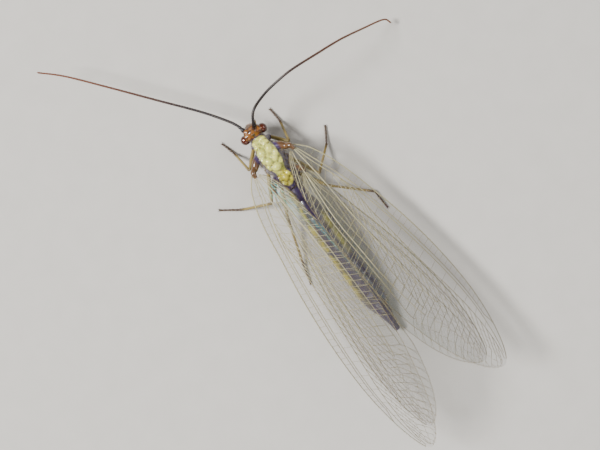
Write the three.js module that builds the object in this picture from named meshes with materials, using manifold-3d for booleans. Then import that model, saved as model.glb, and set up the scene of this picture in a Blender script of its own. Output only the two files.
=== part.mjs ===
// A green lacewing at rest on a flat surface, its wings folded as a roof over the abdomen.
// Millimetres. +X is the animal's left, +Y runs from the head to the wing tips, +Z is up,
// and the feet and the tip of the abdomen stand on z = 0.
import * as THREE from 'three';
import { mergeVertices } from 'three/addons/utils/BufferGeometryUtils.js';
import Module from 'manifold-3d';

const wasm = await Module();
wasm.setup();

// Driving dimensions

const seam = 0.2; // gap between a piece and the one it grows from
const finerSeam = 0.08; // the same gap round the eyes and at the roots of the feelers

const headBack = -1.2; // planes across the body, from head to tail
const pronotumBack = -0.72;
const mesothoraxBack = 0.86;
const metathoraxBack = 1.6;
const abdomenEnd = 10.15;

const eyeRadius = 0.23;
const eyeSpread = 0.51; // from the middle line to an eye's centre
const eyeAt = { y: -1.46, z: 1.86 };

const scapeRadius = 0.2;
const flagellumRadius = 0.22;
const feelerTipRadius = 0.12;

const legRadius = 0.23;
const tarsusRadius = 0.25;
const kneeGap = 0.3; // from the knee's point to the tibia, clear of the femur's end
const ankleGap = 0.2;

const wing = {
  length: 15, // forewing, root to tip
  front: 2.1, // widest reach from the wing's axis to the costal margin
  rear: 2.75, // and to the hind margin
  half: 0.25, // half thickness
  tipHalf: 0.1,
  rootHalf: 0.24, // half width of the root
  camber: 0.2,
  baseX: 0.98,
  baseY: 0.05,
  baseZ: 2.5,
};
const hindwing = {
  start: 1.25, // distance of its root behind the forewing's
  length: 13,
  front: 1.35,
  rear: 2.5,
  half: 0.225,
};
const veinHeight = 0.11;
const ridgeGap = 0.2; // between the hind margins of the two sides
const ridgeLean = -0.24; // how far the roof's ridge drifts to the right by its end
const ridgeLength = 9.5;
const bevel = Math.tan(THREE.MathUtils.degToRad(47)); // both hind margins end in upright faces

// Each side's fold: turn outwards from the body's line, rise, slope of the roof, and how much
// longer or shorter that side's wings are than the length above
const fold = {
  left: { side: 1, yaw: 4.1, pitch: 1.2, rootSlope: 32, slope: 48.5, stretch: 1.03 },
  right: { side: -1, yaw: 7.9, pitch: 1.6, rootSlope: 36, slope: 47, stretch: 0.965 },
};

// Colours and finishes

const finishes = {
  notum: { color: 0xe4e0a4, roughness: 0.4 },
  amber: { color: 0xb86a28, roughness: 0.35 },
  abdomen: { color: 0x3f3748, roughness: 0.5 },
  eye: { color: 0x7a2c12, roughness: 0.15 },
  feeler: { color: 0x3a2428, roughness: 0.5 },
  leg: { color: 0xa89a68, roughness: 0.5 },
  membrane: { color: 0xc9cdc0, roughness: 0.2 },
};

const lacewing = new THREE.Group();

function addNode(name, geometry, finish) {
  const material = new THREE.MeshStandardMaterial({ ...finishes[finish], metalness: 0 });
  const mesh = new THREE.Mesh(geometry, material);
  mesh.name = name;
  lacewing.add(mesh);
}

// Closed surfaces

const point = (x, y, z) => new THREE.Vector3(x, y, z);

function surface(vertices, faces) {
  const geometry = new THREE.BufferGeometry();
  const positions = vertices.flatMap((v) => [v.x, v.y, v.z]);
  geometry.setAttribute('position', new THREE.Float32BufferAttribute(positions, 3));
  geometry.setIndex(faces.flat());
  return geometry;
}

// A skin over rings of equal count, closed at both ends. Each ring turns anticlockwise
// when seen from the far end.
function loft(rings) {
  const sides = rings[0].length;
  const vertices = rings.flat();
  const faces = [];
  for (let i = 0; i < rings.length - 1; i++) {
    for (let j = 0; j < sides; j++) {
      const next = (j + 1) % sides;
      const a = i * sides + j;
      const b = i * sides + next;
      faces.push([a, b, b + sides], [a, b + sides, a + sides]);
    }
  }
  const last = (rings.length - 1) * sides;
  for (let j = 1; j < sides - 1; j++) {
    faces.push([0, j + 1, j], [last, last + j, last + j + 1]);
  }
  return surface(vertices, faces);
}

// A body length along Y: each section is [y, middle x, lowest z, highest z, half width].
function torso(sections, sides, squareness = 0.85) {
  const rings = sections.map(([y, x, low, high, half]) => {
    const ring = [];
    for (let j = 0; j < sides; j++) {
      const angle = (j * 2 * Math.PI) / sides;
      const up = Math.sign(Math.cos(angle)) * Math.abs(Math.cos(angle)) ** squareness;
      const out = Math.sign(Math.sin(angle)) * Math.abs(Math.sin(angle)) ** squareness;
      ring.push(point(x + half * out, y, (low + high) / 2 + ((high - low) / 2) * up));
    }
    return ring;
  });
  return loft(rings);
}

// A round limb along a curve through the points, with a radius for each fraction of its way.
function limb(points, radiusAt, steps, sides = 8) {
  const path = new THREE.CatmullRomCurve3(points, false, 'centripetal');
  const frames = path.computeFrenetFrames(steps, false);
  const rings = [];
  for (let i = 0; i <= steps; i++) {
    const centre = path.getPointAt(i / steps);
    const radius = radiusAt(i / steps);
    const ring = [];
    for (let j = 0; j < sides; j++) {
      const angle = (j * 2 * Math.PI) / sides;
      ring.push(
        centre
          .clone()
          .addScaledVector(frames.normals[i], radius * Math.cos(angle))
          .addScaledVector(frames.binormals[i], radius * Math.sin(angle)),
      );
    }
    rings.push(ring);
  }
  return loft(rings);
}

function ball(centre, radii, columns = 14, rows = 10) {
  const geometry = new THREE.SphereGeometry(1, columns, rows);
  geometry.scale(radii.x, radii.y, radii.z);
  geometry.translate(centre.x, centre.y, centre.z);
  return geometry;
}

function box(low, high) {
  const size = high.clone().sub(low);
  const geometry = new THREE.BoxGeometry(size.x, size.y, size.z);
  const middle = low.clone().add(high).multiplyScalar(0.5);
  geometry.translate(middle.x, middle.y, middle.z);
  return geometry;
}

// Joining and cutting

function solid(geometry) {
  const bare = geometry.clone();
  bare.deleteAttribute('normal');
  bare.deleteAttribute('uv');
  const merged = mergeVertices(bare, 1e-5);
  return new wasm.Manifold(
    new wasm.Mesh({
      numProp: 3,
      vertProperties: new Float32Array(merged.attributes.position.array),
      triVerts: new Uint32Array(merged.index.array),
    }),
  );
}

function largestPart(joined) {
  const parts = joined.decompose();
  parts.sort((a, b) => b.volume() - a.volume());
  const mesh = parts[0].getMesh();
  const geometry = new THREE.BufferGeometry();
  geometry.setAttribute('position', new THREE.BufferAttribute(mesh.vertProperties, 3));
  geometry.setIndex(new THREE.BufferAttribute(mesh.triVerts, 1));
  return geometry;
}

function join(pieces, cuts = []) {
  let whole = solid(pieces[0]);
  for (const piece of pieces.slice(1)) whole = whole.add(solid(piece));
  for (const cut of cuts) whole = whole.subtract(solid(cut));
  return largestPart(whole);
}

// Everything below the floor, to cut flats on what stands on it.
const belowFloor = box(point(-20, -20, -5), point(20, 20, 0));

const smooth = (x) => {
  const k = THREE.MathUtils.clamp(x, 0, 1);
  return k * k * (3 - 2 * k);
};

// Legs, from where each leaves the body: the end of the coxa, knee, ankle and toe

const legs = {
  fore_left: {
    coxa: point(0.46, -0.98, 0.82),
    knee: point(1.25, -0.2, 1.35),
    ankle: point(1.42, -1.3, 0.3),
    toe: point(1.6, -2.0, 0.22),
  },
  fore_right: {
    coxa: point(-0.46, -0.98, 0.82),
    knee: point(-1.12, -0.18, 1.35),
    ankle: point(-1.3, -1.25, 0.3),
    toe: point(-1.25, -1.95, 0.22),
  },
  mid_left: {
    coxa: point(0.58, 0.3, 0.78),
    knee: point(1.35, 1.7, 1.1),
    ankle: point(2.85, 1.0, 0.3),
    toe: point(3.6, 0.45, 0.22),
  },
  mid_right: {
    coxa: point(-0.58, 0.3, 0.78),
    knee: point(-1.35, 1.9, 1.1),
    ankle: point(-2.45, 0.95, 0.3),
    toe: point(-2.85, 0.3, 0.22),
  },
  hind_left: {
    coxa: point(0.5, 1.22, 0.78),
    knee: point(1.2, 2.75, 0.85),
    ankle: point(2.0, 5.0, 0.3),
    toe: point(2.25, 5.85, 0.22),
  },
  hind_right: {
    coxa: point(-0.5, 1.22, 0.78),
    knee: point(-1.3, 2.6, 0.85),
    ankle: point(-2.92, 4.2, 0.3),
    toe: point(-2.95, 5.1, 0.22),
  },
};

// The coxa is part of the thorax: a short stub that ends in a flat face across the femur.
function coxa(leg, insideX, insideZ) {
  const { coxa: end, knee } = legs[leg];
  const along = knee.clone().sub(end).normalize();
  const root = point(Math.sign(end.x) * insideX, end.y - 0.1, insideZ);
  return limb([root, end.clone().addScaledVector(along, -0.12), end], () => 0.25, 3);
}

function between(from, to, fraction) {
  return from.clone().lerp(to, fraction);
}

function shortened(from, to, startGap, endGap) {
  const along = to.clone().sub(from).normalize();
  return [
    from.clone().addScaledVector(along, startGap),
    to.clone().addScaledVector(along, -endGap),
  ];
}

function addLeg(name) {
  const { coxa: root, knee, ankle, toe } = legs[name];
  const [femurStart, femurEnd] = shortened(root, knee, seam, 0.1);
  const femurShape = (t) => legRadius * (1 + 0.22 * Math.sin(Math.PI * t) - 0.08 * t);
  addNode('femur_' + name, limb([femurStart, femurEnd], femurShape, 4), 'leg');

  const [tibiaStart, tibiaEnd] = shortened(knee, ankle, kneeGap, 0.1);
  const tibiaShape = (t) => legRadius * (1 - 0.06 * Math.sin(Math.PI * t));
  addNode('tibia_' + name, limb([tibiaStart, tibiaEnd], tibiaShape, 4), 'leg');

  const [tarsusStart, tarsusEnd] = shortened(ankle, toe, ankleGap, 0);
  const middle = between(tarsusStart, tarsusEnd, 0.5);
  middle.z = toe.z;
  const tarsusShape = (t) => tarsusRadius * (1 - 0.25 * t * t);
  const tarsus = join([limb([tarsusStart, middle, tarsusEnd], tarsusShape, 6)], [belowFloor]);
  addNode('tarsus_' + name, tarsus, 'leg');
}

// Head, with a socket for each eye and each feeler

const sides = { left: 1, right: -1 };

const feelers = {
  left: [
    point(0.27, -1.76, 1.98),
    point(0.4, -2.28, 2.0),
    point(0.73, -2.87, 1.95),
    point(1.45, -3.91, 1.9),
    point(2.73, -5.53, 1.9),
    point(4.26, -7.48, 1.95),
    point(5.55, -9.08, 2.05),
    point(6.48, -10.02, 2.2),
  ],
  right: [
    point(-0.26, -1.72, 2.04),
    point(-0.36, -1.93, 2.38),
    point(-0.58, -2.22, 2.54),
    point(-0.85, -2.4, 2.62),
    point(-1.25, -2.52, 2.9),
    point(-1.84, -2.63, 3.3),
    point(-2.65, -2.69, 3.6),
    point(-3.39, -2.7, 3.7),
    point(-4.69, -2.6, 3.5),
    point(-5.98, -2.51, 2.8),
    point(-7.19, -2.34, 1.6),
    point(-8.21, -2.14, 0.75),
    point(-8.4, -1.82, 0.42),
  ],
};

function headSolid() {
  const cranium = torso(
    [
      [headBack - seam, 0, 1.32, 2.18, 0.43],
      [-1.52, 0, 1.18, 2.28, 0.5],
      [-1.68, 0, 1.15, 2.26, 0.5],
      [-1.84, 0, 1.2, 2.12, 0.42],
      [-1.95, 0, 1.35, 1.9, 0.27],
    ],
    16,
  );
  const face = ball(point(0, -1.68, 1.36), point(0.3, 0.26, 0.36));
  const sockets = [];
  for (const side of Object.values(sides)) {
    const reach = eyeRadius + finerSeam;
    const eyeCentre = point(side * eyeSpread, eyeAt.y, eyeAt.z);
    sockets.push(ball(eyeCentre, point(reach, reach, reach), 16, 12));
  }
  for (const route of Object.values(feelers)) {
    const [root, next] = route;
    const outside = root.clone().lerp(next, 1.2);
    sockets.push(limb([root, outside], () => scapeRadius + finerSeam, 1, 12));
  }
  return join([cranium, face], sockets);
}

function mouthSolid() {
  const lip = torso(
    [
      [-1.86, 0, 0.62, 0.82, 0.12],
      [-1.76, 0, 0.58, 0.9, 0.2],
      [-1.58, 0, 0.6, 0.9, 0.24],
      [-1.42, 0, 0.68, 0.88, 0.16],
    ],
    10,
  );
  const palps = Object.values(sides).map((side) =>
    limb(
      [
        point(side * 0.14, -1.62, 0.78),
        point(side * 0.3, -1.84, 0.8),
        point(side * 0.38, -2.06, 0.6),
      ],
      (t) => 0.13 - 0.05 * t,
      4,
      6,
    ),
  );
  return join([lip, ...palps]);
}

addNode('head', headSolid(), 'amber');
addNode('mouthparts', mouthSolid(), 'amber');
for (const [name, side] of Object.entries(sides)) {
  const eye = ball(
    point(side * eyeSpread, eyeAt.y, eyeAt.z),
    point(eyeRadius, eyeRadius, eyeRadius),
    16,
    12,
  );
  addNode('eye_' + name, eye, 'eye');
}

// Feelers: a scape in its socket, then the thread in three lengths

const feelerCuts = [0, 0.06, 0.36, 0.68, 1]; // fractions of the whole way

function addFeeler(name) {
  const path = new THREE.CatmullRomCurve3(feelers[name], false, 'centripetal');
  const whole = path.getLength();
  const nodeNames = ['scape_', 'antenna_base_', 'antenna_middle_', 'antenna_tip_'];
  nodeNames.forEach((nodeName, k) => {
    const gap = k === 0 ? finerSeam : seam / 2;
    const from = feelerCuts[k] + gap / whole;
    const to = feelerCuts[k + 1] - (k === 3 ? 0 : seam / 2 / whole);
    const steps = Math.max(3, Math.round(((to - from) * whole) / 0.42));
    const points = [];
    for (let i = 0; i <= steps; i++) points.push(path.getPointAt(from + ((to - from) * i) / steps));
    const radiusAt = (t) => {
      const way = from + (to - from) * t;
      if (k === 0) return scapeRadius;
      return THREE.MathUtils.lerp(flagellumRadius, feelerTipRadius, smooth((way - 0.3) / 0.7));
    };
    addNode(nodeName + name, limb(points, radiusAt, steps), 'feeler');
  });
}

for (const name of Object.keys(sides)) addFeeler(name);

// Thorax and abdomen

function prothoraxSolid() {
  const collar = torso(
    [
      [headBack, 0, 1.3, 2.14, 0.38],
      [-1.05, 0, 1.12, 2.3, 0.44],
      [pronotumBack - seam, 0, 1.1, 2.38, 0.47],
    ],
    16,
  );
  return join([collar, coxa('fore_left', 0.22, 1.3), coxa('fore_right', 0.22, 1.3)]);
}

// The small scale at a wing's root: a knob whose back is flat, square to the wing.
function wingKnob(insideX, x, y, z, radius, side) {
  const root = point(side * insideX, y - 0.35, z - 0.1);
  return limb([root, point(side * x, y - 0.22, z), point(side * x, y, z)], () => radius, 4, 10);
}

function mesothoraxSolid() {
  const trunk = torso(
    [
      [pronotumBack, 0, 1.1, 2.45, 0.48],
      [-0.5, 0, 0.85, 2.66, 0.6],
      [-0.15, 0, 0.72, 2.7, 0.66],
      [0.25, 0, 0.72, 2.62, 0.62],
      [0.6, 0, 0.8, 2.5, 0.52],
      [mesothoraxBack - seam, 0, 0.9, 2.4, 0.45],
    ],
    18,
    0.95,
  );
  const pieces = [trunk];
  for (const side of Object.values(sides)) {
    pieces.push(ball(point(side * 0.24, -0.3, 2.5), point(0.3, 0.4, 0.26)));
    pieces.push(wingKnob(0.4, wing.baseX, wing.baseY - seam, wing.baseZ, 0.24, side));
  }
  pieces.push(ball(point(0, 0.4, 2.46), point(0.3, 0.24, 0.2)));
  pieces.push(coxa('mid_left', 0.3, 1.2), coxa('mid_right', 0.3, 1.2));
  return join(pieces);
}

const hindKnob = { x: 0.84, z: 1.62 };

function metathoraxSolid() {
  const trunk = torso(
    [
      [mesothoraxBack, 0, 0.95, 2.34, 0.44],
      [1.1, 0, 0.85, 2.36, 0.5],
      [1.35, 0, 0.88, 2.25, 0.46],
      [metathoraxBack - seam, 0, 0.95, 2.15, 0.42],
    ],
    16,
    0.95,
  );
  const pieces = [trunk];
  for (const side of Object.values(sides)) {
    pieces.push(wingKnob(0.3, hindKnob.x, 1.1, hindKnob.z, 0.22, side));
  }
  pieces.push(coxa('hind_left', 0.25, 1.2), coxa('hind_right', 0.25, 1.2));
  return join(pieces);
}

// Nine rings, each a little fuller than the grooves between them, sinking to the floor.
function abdomenSolid() {
  const rings = 9;
  const sections = [];
  const length = abdomenEnd - metathoraxBack;
  const half = (t) => {
    const swell = 0.42 + 0.27 * smooth(t / 0.28);
    return swell * (1 - 0.72 * smooth((t - 0.72) / 0.28));
  };
  const middle = (t) => 1.56 - 0.72 * smooth(t / 0.6) - 0.45 * smooth((t - 0.45) / 0.55);
  const place = (t, fullness) => {
    const reach = half(t) * fullness;
    const bend = 0.18 * smooth(t / 0.8);
    const z = middle(t);
    sections.push([metathoraxBack + length * t, bend, z - reach * 0.86, z + reach * 0.86, reach]);
  };
  for (let k = 0; k < rings; k++) {
    place(k / rings, 0.93);
    place((k + 0.25) / rings, 1);
    place((k + 0.75) / rings, 1);
  }
  place(1, 0.93);
  return join([torso(sections, 16, 1)], [belowFloor]);
}

addNode('prothorax', prothoraxSolid(), 'notum');
addNode('mesothorax', mesothoraxSolid(), 'notum');
addNode('metathorax', metathoraxSolid(), 'notum');
addNode('abdomen', abdomenSolid(), 'abdomen');
for (const name of Object.keys(legs)) addLeg(name);

// Wings

// The frame of a side's roof at a distance along the forewing's axis: a point on the axis,
// the direction out to the costal margin and the outward normal.
function roofAt(pose, distance) {
  const yaw = THREE.MathUtils.degToRad(pose.yaw);
  const pitch = THREE.MathUtils.degToRad(pose.pitch);
  const turn = smooth(distance / wing.length / 0.3);
  const slope = THREE.MathUtils.degToRad(THREE.MathUtils.lerp(pose.rootSlope, pose.slope, turn));
  const along = point(
    pose.side * Math.sin(yaw) * Math.cos(pitch),
    Math.cos(yaw) * Math.cos(pitch),
    Math.sin(pitch),
  );
  const out = point(
    pose.side * Math.cos(yaw) * Math.cos(slope),
    -Math.sin(yaw) * Math.cos(slope),
    -Math.sin(slope),
  );
  out.addScaledVector(along, -out.dot(along)).normalize();
  const normal = along.clone().cross(out).multiplyScalar(-pose.side).normalize();
  const base = point(pose.side * wing.baseX, wing.baseY, wing.baseZ);
  return { centre: base.addScaledVector(along, distance), out, normal };
}

const ridgeX = (y) => ridgeLean * smooth(y / ridgeLength);

// A margin's reach that rises from the root and falls to the tip.
function reach(t, widest, rise, fall) {
  const peak = rise / (rise + fall);
  const value = (x) => x ** rise * (1 - x) ** fall;
  return (widest * value(t)) / value(peak);
}

// Where the veins run across the wing, from 0 at the costal margin to 1 at the hind margin,
// each with the stretch of the wing on which it stands proud.
const foreVeins = [
  { across: 0.14, until: 0.97 },
  { across: 0.28, until: 0.95 },
  { across: 0.42, until: 0.9 },
  { across: 0.56, until: 0.8 },
  { across: 0.7, until: 0.62 },
  { across: 0.85, until: 0.45 },
];
const hindVeins = [
  { across: 0.16, until: 0.95 },
  { across: 0.36, until: 0.9 },
  { across: 0.58, until: 0.7 },
  { across: 0.8, until: 0.5 },
];

// Lines from root to tip, three to a vein: both its feet and its crest.
function chordLines(veins) {
  const foot = 0.035;
  const lines = [{ across: 0, height: () => 0, edge: true }];
  lines.push({ across: 0.035, height: () => 0 });
  for (const vein of veins) {
    const height = (t) => veinHeight * smooth(t / 0.04) * smooth((vein.until - t) / 0.08);
    lines.push({ across: vein.across - foot, height: () => 0 });
    lines.push({ across: vein.across, height });
    lines.push({ across: vein.across + foot, height: () => 0 });
  }
  lines.push({ across: 0.95, height: () => 0 });
  lines.push({ across: 1, height: () => 0, edge: true });
  return lines;
}

// A wing as two faces of alike triangles, joined round the margin.
function wingSolid(pose, shape) {
  const { veins, steps, start, length, front, rear, frontRise, rearRise, half, below } = shape;
  const lines = chordLines(veins);
  const last = lines.length - 1;
  const upper = [];
  const lower = [];
  for (let i = 0; i <= steps; i++) {
    const t = 1 - (1 - (i / steps) * 0.985) ** 1.25;
    const roof = roofAt(pose, (start + length * t) * pose.stretch);
    const rootWidth = wing.rootHalf * (1 - t) ** 2;
    const frontReach = rootWidth + reach(t, front, frontRise, 0.62);
    let rearReach = rootWidth + reach(t, rear, rearRise, 0.62);
    const drop = below * (1 - 0.12 * smooth(1 - t / 0.1));
    const thick = THREE.MathUtils.lerp(half, wing.tipHalf, smooth((t - 0.72) / 0.28));
    const flatX = (chord) => roof.centre.x + roof.out.x * chord - roof.normal.x * drop;
    const limit = ridgeX(roof.centre.y) + (pose.side * ridgeGap) / 2;
    const room = Math.abs((flatX(0) - limit) / roof.out.x);
    rearReach = Math.min(rearReach, room);
    const slant = bevel * thick * smooth(t / 0.15);
    const spread = THREE.MathUtils.lerp(1.35, 0.8, t); // veins fan out towards the hind margin
    lines.forEach((line, j) => {
      const across = line.across ** spread;
      const chord = frontReach - across * (frontReach + rearReach);
      const arch = wing.camber * 4 * across * (1 - across) * smooth(t / 0.2) * (1 - t) ** 0.5;
      const rim = j === 0 ? 0.6 : 1;
      const lift = line.height(t);
      const shift = j === last ? slant : j === last - 1 ? slant * 0.5 : 0;
      const place = (chordAt, off) =>
        roof.centre
          .clone()
          .addScaledVector(roof.out, chordAt)
          .addScaledVector(roof.normal, off - drop + arch);
      upper.push(place(chord - shift, thick * rim + lift));
      lower.push(place(chord + shift, -thick * rim));
    });
  }
  const count = upper.length;
  const columns = lines.length;
  const faces = [];
  const quad = (a, b, c, d) => faces.push([a, b, c], [a, c, d]);
  for (let i = 0; i < steps; i++) {
    for (let j = 0; j < last; j++) {
      const a = i * columns + j;
      quad(a, a + columns, a + columns + 1, a + 1);
      faces.push([count + a, count + a + columns + 1, count + a + columns]);
      faces.push([count + a, count + a + 1, count + a + columns + 1]);
    }
    const costal = i * columns;
    const inner = costal + last;
    quad(costal, count + costal, count + costal + columns, costal + columns);
    quad(inner, inner + columns, count + inner + columns, count + inner);
  }
  const tip = steps * columns;
  for (let j = 0; j < last; j++) {
    quad(j, j + 1, count + j + 1, count + j);
    quad(tip + j, count + tip + j, count + tip + j + 1, tip + j + 1);
  }
  if (pose.side < 0) faces.forEach((face) => face.reverse());
  return surface([...upper, ...lower], faces);
}

const foreShape = {
  veins: foreVeins,
  steps: 22,
  start: 0,
  length: wing.length,
  front: wing.front,
  rear: wing.rear,
  frontRise: 0.75,
  rearRise: 0.8,
  half: wing.half,
  below: 0,
};
const hindShape = {
  veins: hindVeins,
  steps: 18,
  start: hindwing.start,
  length: hindwing.length,
  front: hindwing.front,
  rear: hindwing.rear,
  frontRise: 1.1,
  rearRise: 0.95,
  half: hindwing.half,
  below: wing.half + seam + hindwing.half,
};

for (const [name, pose] of Object.entries(fold)) {
  addNode('forewing_' + name, wingSolid(pose, foreShape), 'membrane');
  addNode('hindwing_' + name, wingSolid(pose, hindShape), 'membrane');
}

// The origin is under the middle of the whole animal, on the floor.
const extent = new THREE.Box3().setFromObject(lacewing);
const centre = extent.getCenter(new THREE.Vector3());
lacewing.position.set(-centre.x, -centre.y, 0);

export default lacewing;
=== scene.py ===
import math
import random
import bpy
import bmesh
from mathutils import Vector, Matrix, noise


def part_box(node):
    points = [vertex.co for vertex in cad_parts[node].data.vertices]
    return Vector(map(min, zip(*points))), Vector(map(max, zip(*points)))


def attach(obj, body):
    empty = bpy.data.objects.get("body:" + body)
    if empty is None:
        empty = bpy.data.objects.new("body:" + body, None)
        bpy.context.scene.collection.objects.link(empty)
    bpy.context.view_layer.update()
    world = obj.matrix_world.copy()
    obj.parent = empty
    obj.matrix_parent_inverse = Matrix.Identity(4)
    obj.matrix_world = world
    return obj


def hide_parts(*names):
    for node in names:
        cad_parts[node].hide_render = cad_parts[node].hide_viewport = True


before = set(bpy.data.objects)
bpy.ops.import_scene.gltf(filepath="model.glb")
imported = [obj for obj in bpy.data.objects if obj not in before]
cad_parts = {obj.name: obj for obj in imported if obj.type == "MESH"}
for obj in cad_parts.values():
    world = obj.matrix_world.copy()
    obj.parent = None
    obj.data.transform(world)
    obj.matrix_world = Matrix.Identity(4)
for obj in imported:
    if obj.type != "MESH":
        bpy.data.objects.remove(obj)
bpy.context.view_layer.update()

# All sizes below are in millimetres, with the thorax over x = y = 0; the frame gives the shift.
mm = 0.001
thoraxLow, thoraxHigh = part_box("mesothorax")
pronotumBack = -0.72
shift = Vector(((thoraxLow.x + thoraxHigh.x) / 2 / mm, thoraxLow.y / mm - pronotumBack, 0))


def vec(*numbers):
    return Vector(numbers)


def smooth(x):
    k = min(max(x, 0), 1)
    return k * k * (3 - 2 * k)


def mix(a, b, k):
    return a + (b - a) * k


# Colour and material helpers

def hexColour(text):
    channels = [int(text[i:i + 2], 16) / 255 for i in (0, 2, 4)]
    return tuple(c / 12.92 if c <= 0.04045 else ((c + 0.055) / 1.055) ** 2.4 for c in channels) + (1,)


def newMaterial(name):
    material = bpy.data.materials.new(name)
    material.use_nodes = True
    material.node_tree.nodes.clear()
    return material, material.node_tree


def addNode(tree, kind, settings=None, links=None):
    node = tree.nodes.new(kind)
    for key, value in (settings or {}).items():
        if isinstance(key, str) and hasattr(node, key):
            setattr(node, key, value)
        else:
            node.inputs[key].default_value = value
    for key, source in (links or {}).items():
        tree.links.new(source, node.inputs[key])
    return node


def perMetre(size):
    return 1 / (size * mm)  # the texture scale of marks that repeat about every size mm


def finishMaterial(tree, shader):
    addNode(tree, "ShaderNodeOutputMaterial", links={"Surface": shader.outputs[0]})


def mixColours(tree, factor, first, second):
    node = addNode(tree, "ShaderNodeMix", {"data_type": "RGBA"})
    for slotIndex, value in ((0, factor), (6, first), (7, second)):
        if isinstance(value, bpy.types.NodeSocket):
            tree.links.new(value, node.inputs[slotIndex])
        else:
            node.inputs[slotIndex].default_value = value
    return node.outputs[2]


def makeObject(name, vertices, faces, material, smoothShade=True):
    mesh = bpy.data.meshes.new(name)
    mesh.from_pydata([tuple((v + shift) * mm) for v in vertices], [], faces)
    mesh.validate()
    mesh.materials.append(material)
    if smoothShade:
        mesh.shade_smooth()
    else:
        mesh.shade_flat()
    piece = bpy.data.objects.new(name, mesh)
    bpy.context.scene.collection.objects.link(piece)
    return piece


# Closed tubes and round bodies, as lists of vertices and faces

def ringsToMesh(rings):
    vertices = [v for ring in rings for v in ring]
    sides = len(rings[0])
    faces = []
    for i in range(len(rings) - 1):
        for j in range(sides):
            a = i * sides + j
            b = i * sides + (j + 1) % sides
            faces.append((a, b, b + sides, a + sides))
    last = (len(rings) - 1) * sides
    faces.append(tuple(range(sides - 1, -1, -1)))
    faces.append(tuple(range(last, last + sides)))
    return vertices, faces


def tube(path, radii, sides=8):
    rings = []
    normal = None
    for i, centre in enumerate(path):
        ahead = path[min(i + 1, len(path) - 1)]
        behind = path[max(i - 1, 0)]
        tangent = (ahead - behind).normalized()
        if normal is None:
            normal = tangent.orthogonal().normalized()
        normal = (normal - tangent * normal.dot(tangent)).normalized()
        binormal = tangent.cross(normal)
        ring = []
        for j in range(sides):
            angle = 2 * math.pi * j / sides
            spot = centre + normal * (radii[i] * math.cos(angle))
            ring.append(spot + binormal * (radii[i] * math.sin(angle)))
        rings.append(ring)
    return ringsToMesh(rings)


def joinMeshes(meshes):
    vertices, faces = [], []
    for someVertices, someFaces in meshes:
        offset = len(vertices)
        vertices += someVertices
        faces += [tuple(k + offset for k in face) for face in someFaces]
    return vertices, faces


def spline(points, steps):
    result = []
    count = len(points) - 1
    for i in range(steps + 1):
        x = i / steps * count
        k = min(int(x), count - 1)
        u = x - k
        p1, p2 = points[k], points[k + 1]
        p0 = points[k - 1] if k else p1 * 2 - p2
        p3 = points[k + 2] if k + 2 <= count else p2 * 2 - p1
        result.append(0.5 * (2 * p1 + (p2 - p0) * u + (2 * p0 - 5 * p1 + 4 * p2 - p3) * u * u
                             + (3 * p1 - p0 - 3 * p2 + p3) * u ** 3))
    return result


def evenSteps(path, spacing):
    lengths = [0]
    for a, b in zip(path, path[1:]):
        lengths.append(lengths[-1] + (b - a).length)
    count = max(2, round(lengths[-1] / spacing))
    result, k = [], 0
    for i in range(count + 1):
        want = lengths[-1] * i / count
        while k < len(lengths) - 2 and lengths[k + 1] < want:
            k += 1
        span = max(lengths[k + 1] - lengths[k], 1e-9)
        result.append(path[k].lerp(path[k + 1], min(max((want - lengths[k]) / span, 0), 1)))
    return result


# Camera, at the photograph's angle: nearly straight down, the head to the upper left
camera = {
    "target": vec(0.971, 3.330, 0),
    "distance": 100,
    "leanDegrees": 3.8,  # towards the animal's right
    "imageRight": vec(-0.8, 0.6, 0),
    "focalPixels": 2058,
    "imageWidth": 600,
}


def addCamera():
    lean = math.radians(camera["leanDegrees"])
    back = vec(-math.sin(lean), 0, math.cos(lean))
    right = camera["imageRight"]
    right = (right - back * right.dot(back)).normalized()
    up = back.cross(right)
    place = (camera["target"] + back * camera["distance"] + shift) * mm
    data = bpy.data.cameras.new("camera")
    data.sensor_width = 36
    data.lens = camera["focalPixels"] / camera["imageWidth"] * data.sensor_width
    data.clip_start = 0.001
    data.clip_end = 10
    view = bpy.data.objects.new("camera", data)
    view.matrix_world = Matrix((right, up, back)).transposed().to_4x4()
    view.matrix_world.translation = place
    bpy.context.scene.collection.objects.link(view)
    bpy.context.scene.camera = view


addCamera()
print("camera placed")

# Materials

cuticleColours = {
    "side": "1d1119",  # dark purple-brown flanks and abdomen
    "sideGlint": "453261",
    "cream": "e2dc78",  # plates of the thorax
    "green": "a8b44c",
    # painted shade: the dark colour mixed into the hollows between the plates
    "furrowShade": "1e190d",
    "yellow": "c4b728",  # blotches along the abdomen
    "amber": "845014",  # head
    "amberDark": "33180a",
    "tan": "7a5530",  # wing roots
    "tanDark": "301e14",
}
cuticlePattern = {"blotch": 0.22222, "grain": 0.045455}  # widths in mm


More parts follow.
